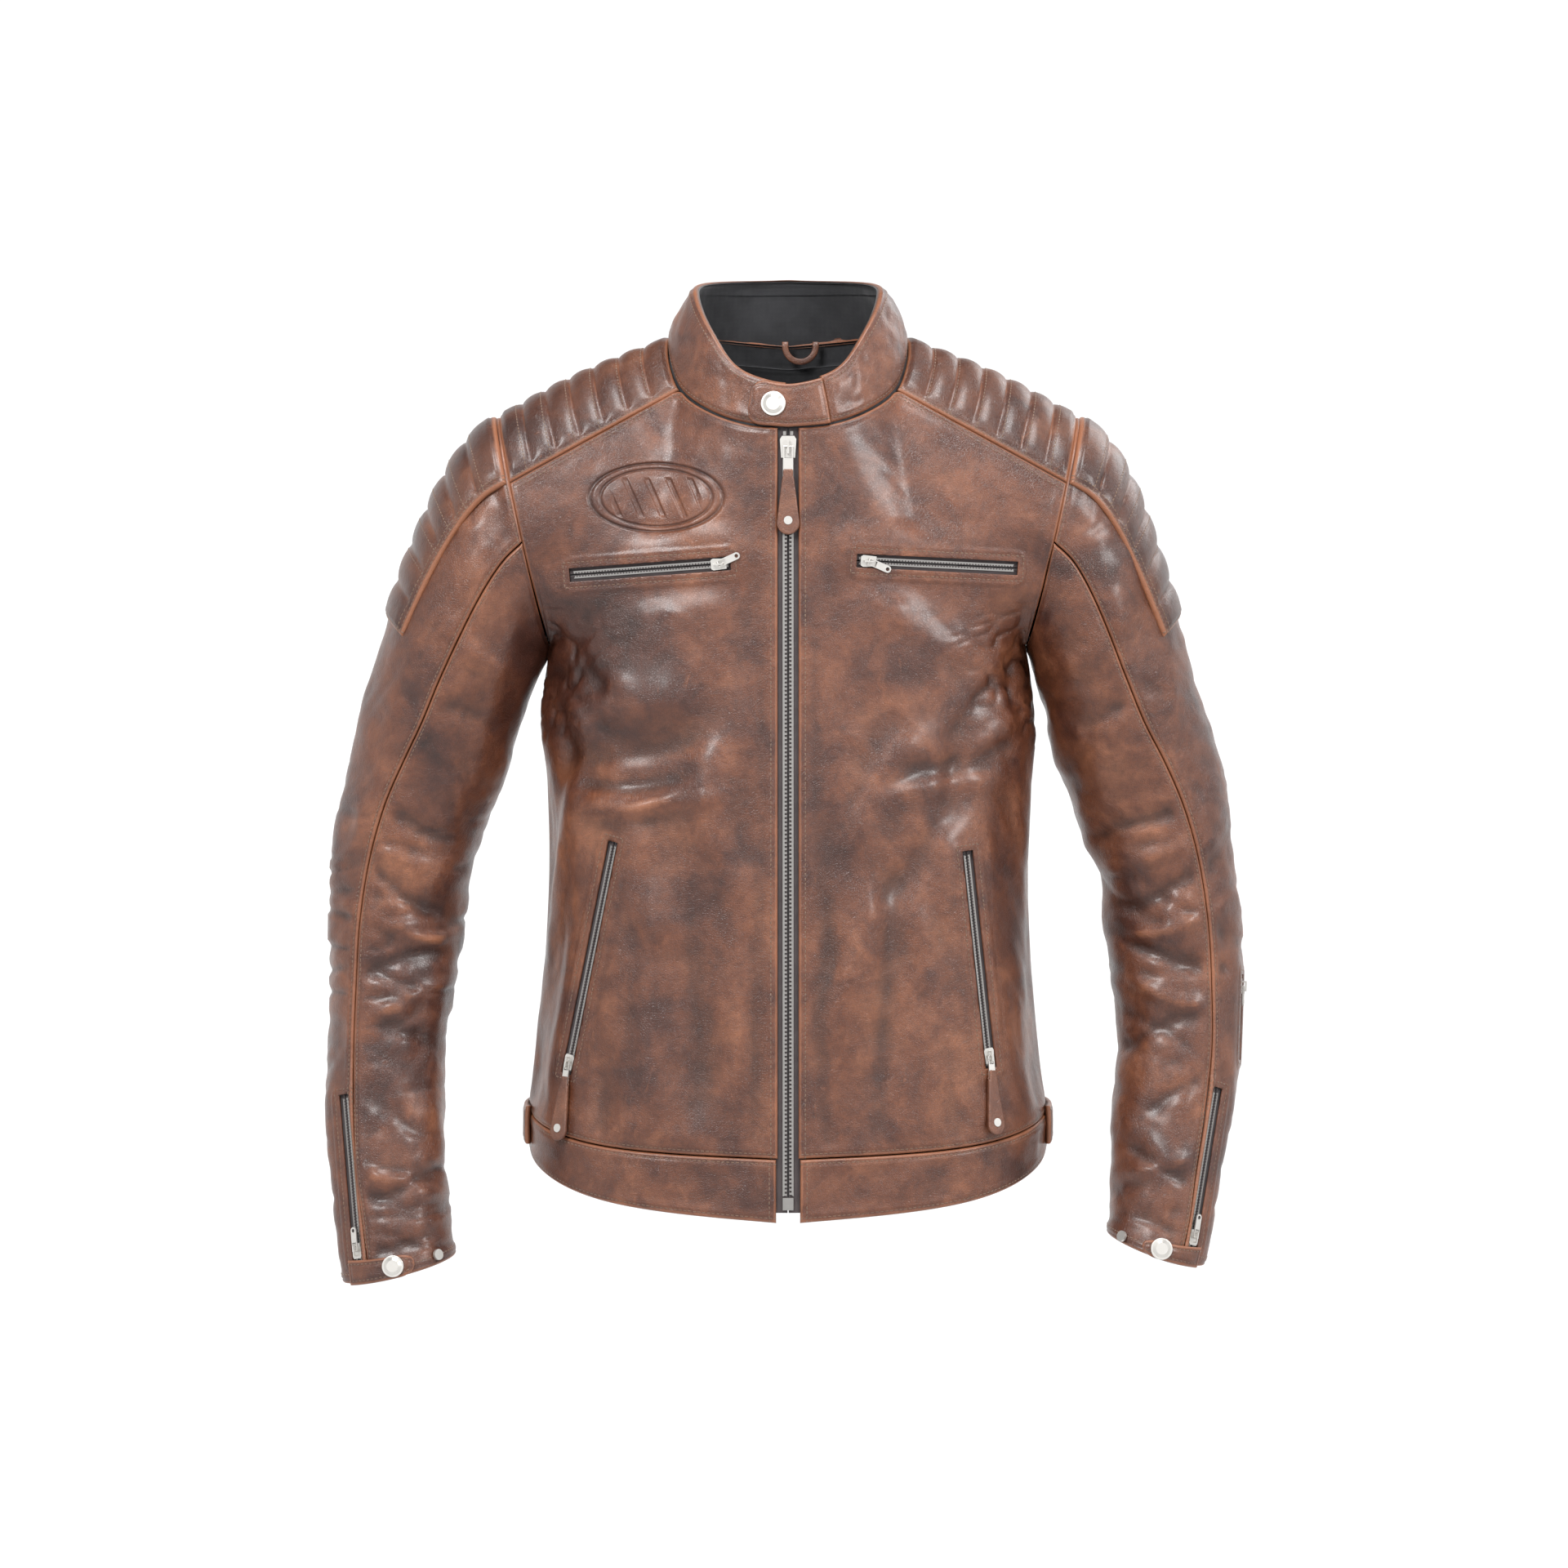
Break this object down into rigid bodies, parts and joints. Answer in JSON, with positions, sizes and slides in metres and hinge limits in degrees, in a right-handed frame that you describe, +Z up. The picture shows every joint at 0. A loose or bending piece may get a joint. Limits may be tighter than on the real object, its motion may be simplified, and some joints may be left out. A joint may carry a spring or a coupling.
{
  "type": "leather riding jacket",
  "caption": "Hip-length leather riding jacket with a snap band collar, quilted shoulder and upper-arm panels, centre zip, zipped chest and hand pockets, and zipped cuffs.",
  "frame": {"origin": "centre of the neck, level with the high point of the shoulders", "axes": "+Z up, the front faces -Y and the wearer's left is +X"},
  "size_m": [0.6937, 0.247, 0.7489],
  "materials": {
    "brown_leather": "semi-gloss, mottled and worn",
    "quilted_leather": "semi-gloss, worn along the ribs",
    "pull_leather": "matt, cut edges",
    "lining_cloth": "black weave",
    "zip_tape": "black herringbone tape",
    "zip_teeth_metal": "antique nickel",
    "bright_metal": "worn nickel"
  },
  "bodies": {
    "jacket": {"front_panel_right": "brown_leather", "front_panel_left": "brown_leather", "back_panel": "brown_leather", "shoulder_yoke_right": "quilted_leather", "shoulder_yoke_left": "quilted_leather", "hem_band_right": "brown_leather", "hem_band_left": "brown_leather", "hem_band_back": "brown_leather", "collar_shell": "brown_leather", "collar_lining": "lining_cloth", "body_lining": "lining_cloth", "hanger_loop": "brown_leather", "body_zip_tapes": "zip_tape", "main_zip_teeth": "zip_teeth_metal", "main_zip_ends": "zip_teeth_metal", "pocket_zip_teeth": "zip_teeth_metal", "body_studs": "bright_metal"},
    "collar_tab": {"collar_tab": "brown_leather", "collar_snap_cap": "bright_metal"},
    "main_slider": {"main_slider": "bright_metal"},
    "main_pull": {"main_pull": "bright_metal", "main_pull_tab": "pull_leather"},
    "chest_slider_right": {"chest_slider_right": "bright_metal"},
    "chest_pull_right": {"chest_pull_right": "bright_metal"},
    "hand_slider_right": {"hand_slider_right": "bright_metal"},
    "hand_pull_right": {"hand_pull_right": "bright_metal", "hand_pull_tab_right": "pull_leather"},
    "waist_strap_right": {"waist_strap_right": "brown_leather", "waist_snap_cap_right": "bright_metal"},
    "sleeve_right": {"sleeve_outer_right": "brown_leather", "sleeve_under_right": "brown_leather", "sleeve_quilt_right": "quilted_leather", "sleeve_lining_right": "lining_cloth", "sleeve_zip_tapes_right": "zip_tape", "sleeve_zip_teeth_right": "zip_teeth_metal", "cuff_studs_right": "bright_metal"},
    "cuff_slider_right": {"cuff_slider_right": "bright_metal"},
    "cuff_pull_right": {"cuff_pull_right": "bright_metal"},
    "cuff_tab_right": {"cuff_tab_right": "brown_leather", "cuff_snap_cap_right": "bright_metal"},
    "chest_slider_left": {"chest_slider_left": "bright_metal"},
    "chest_pull_left": {"chest_pull_left": "bright_metal"},
    "hand_slider_left": {"hand_slider_left": "bright_metal"},
    "hand_pull_left": {"hand_pull_left": "bright_metal", "hand_pull_tab_left": "pull_leather"},
    "waist_strap_left": {"waist_strap_left": "brown_leather", "waist_snap_cap_left": "bright_metal"},
    "sleeve_left": {"sleeve_outer_left": "brown_leather", "sleeve_under_left": "brown_leather", "sleeve_quilt_left": "quilted_leather", "sleeve_lining_left": "lining_cloth", "sleeve_zip_tapes_left": "zip_tape", "sleeve_zip_teeth_left": "zip_teeth_metal", "cuff_studs_left": "bright_metal"},
    "cuff_slider_left": {"cuff_slider_left": "bright_metal"},
    "cuff_pull_left": {"cuff_pull_left": "bright_metal"},
    "cuff_tab_left": {"cuff_tab_left": "brown_leather", "cuff_snap_cap_left": "bright_metal"},
    "sleeve_pocket_slider": {"sleeve_pocket_slider": "bright_metal"},
    "sleeve_pocket_pull": {"sleeve_pocket_pull": "bright_metal"}
  },
  "joints": [
    {"name": "collar_tab_fold", "type": "hinge", "parent": "jacket", "child": "collar_tab", "pos_m": [0.02747, -0.06888, -0.0487], "axis": [-0.193, 0.0984, 0.9762], "range_deg": [0, 75]},
    {"name": "main_zip_run", "type": "slide", "parent": "jacket", "child": "main_slider", "axis": [0, -0.0861, -0.9963], "range_m": [0, 0.53]},
    {"name": "main_pull_swing", "type": "hinge", "parent": "main_slider", "child": "main_pull", "pos_m": [0, -0.07785, -0.08283], "axis": [-1, 0, 0], "range_deg": [0, 150]},
    {"name": "chest_zip_run_right", "type": "slide", "parent": "jacket", "child": "chest_slider_right", "axis": [-0.9789, 0.1892, -0.0766], "range_m": [0, 0.1]},
    {"name": "chest_pull_swing_right", "type": "hinge", "parent": "chest_slider_right", "child": "chest_pull_right", "pos_m": [-0.05114, -0.08267, -0.16858], "axis": [0.4102, -0.054, -0.9104], "range_deg": [0, 150]},
    {"name": "hand_zip_run_right", "type": "slide", "parent": "jacket", "child": "hand_slider_right", "axis": [0.1998, -0.0455, 0.9788], "range_m": [0, 0.155]},
    {"name": "hand_pull_swing_right", "type": "hinge", "parent": "hand_slider_right", "child": "hand_pull_right", "pos_m": [-0.16304, -0.07298, -0.53601], "axis": [-0.7932, 0.6089, 0.0128], "range_deg": [0, 150]},
    {"name": "waist_strap_fold_right", "type": "hinge", "parent": "jacket", "child": "waist_strap_right", "pos_m": [-0.19658, -0.02452, -0.5895], "axis": [0, 0, 1], "range_deg": [0, 50]},
    {"name": "sleeve_swing_right", "type": "hinge", "parent": "jacket", "child": "sleeve_right", "pos_m": [-0.216, 0.005, -0.06], "axis": [0, 1, 0], "range_deg": [0, 30]},
    {"name": "cuff_zip_run_right", "type": "slide", "parent": "sleeve_right", "child": "cuff_slider_right", "axis": [-0.0991, 0.2268, 0.9689], "range_m": [0, 0.1]},
    {"name": "cuff_pull_swing_right", "type": "hinge", "parent": "cuff_slider_right", "child": "cuff_pull_right", "pos_m": [-0.32033, -0.07501, -0.6765], "axis": [0.7754, -0.5926, 0.2181], "range_deg": [0, 150]},
    {"name": "cuff_tab_fold_right", "type": "hinge", "parent": "sleeve_right", "child": "cuff_tab_right", "pos_m": [-0.32378, -0.07586, -0.69295], "axis": [0.1307, -0.1851, -0.974], "range_deg": [0, 100]},
    {"name": "chest_zip_run_left", "type": "slide", "parent": "jacket", "child": "chest_slider_left", "axis": [0.9821, 0.1815, -0.0512], "range_m": [0, 0.1]},
    {"name": "chest_pull_swing_left", "type": "hinge", "parent": "chest_slider_left", "child": "chest_pull_left", "pos_m": [0.05915, -0.08151, -0.1664], "axis": [-0.3883, -0.0435, -0.9205], "range_deg": [0, 150]},
    {"name": "hand_zip_run_left", "type": "slide", "parent": "jacket", "child": "hand_slider_left", "axis": [-0.1083, 0.0315, 0.9936], "range_m": [0, 0.14]},
    {"name": "hand_pull_swing_left", "type": "hinge", "parent": "hand_slider_left", "child": "hand_pull_left", "pos_m": [0.14908, -0.08428, -0.52991], "axis": [-0.8432, -0.5367, 0.0304], "range_deg": [0, 150]},
    {"name": "waist_strap_fold_left", "type": "hinge", "parent": "jacket", "child": "waist_strap_left", "pos_m": [0.1966, -0.02446, -0.5895], "axis": [0, 0, -1], "range_deg": [0, 50]},
    {"name": "sleeve_swing_left", "type": "hinge", "parent": "jacket", "child": "sleeve_left", "pos_m": [0.216, 0.005, -0.06], "axis": [0, -1, 0], "range_deg": [0, 30]},
    {"name": "cuff_zip_run_left", "type": "slide", "parent": "sleeve_left", "child": "cuff_slider_left", "axis": [0.1748, 0.2429, 0.9542], "range_m": [0, 0.1]},
    {"name": "cuff_pull_swing_left", "type": "hinge", "parent": "cuff_slider_left", "child": "cuff_pull_left", "pos_m": [0.30163, -0.07487, -0.66656], "axis": [0.7398, 0.6071, -0.2901], "range_deg": [0, 150]},
    {"name": "cuff_tab_fold_left", "type": "hinge", "parent": "sleeve_left", "child": "cuff_tab_left", "pos_m": [0.30329, -0.07586, -0.68143], "axis": [0.2564, 0.2223, 0.9407], "range_deg": [0, 100]},
    {"name": "sleeve_pocket_zip_run", "type": "slide", "parent": "sleeve_left", "child": "sleeve_pocket_slider", "axis": [-0.0375, -0.1181, -0.9923], "range_m": [0, 0.045]},
    {"name": "sleeve_pocket_pull_swing", "type": "hinge", "parent": "sleeve_pocket_slider", "child": "sleeve_pocket_pull", "pos_m": [0.34276, -0.00902, -0.48708], "axis": [-0.2162, -0.9685, 0.1235], "range_deg": [0, 150]}
  ]
}
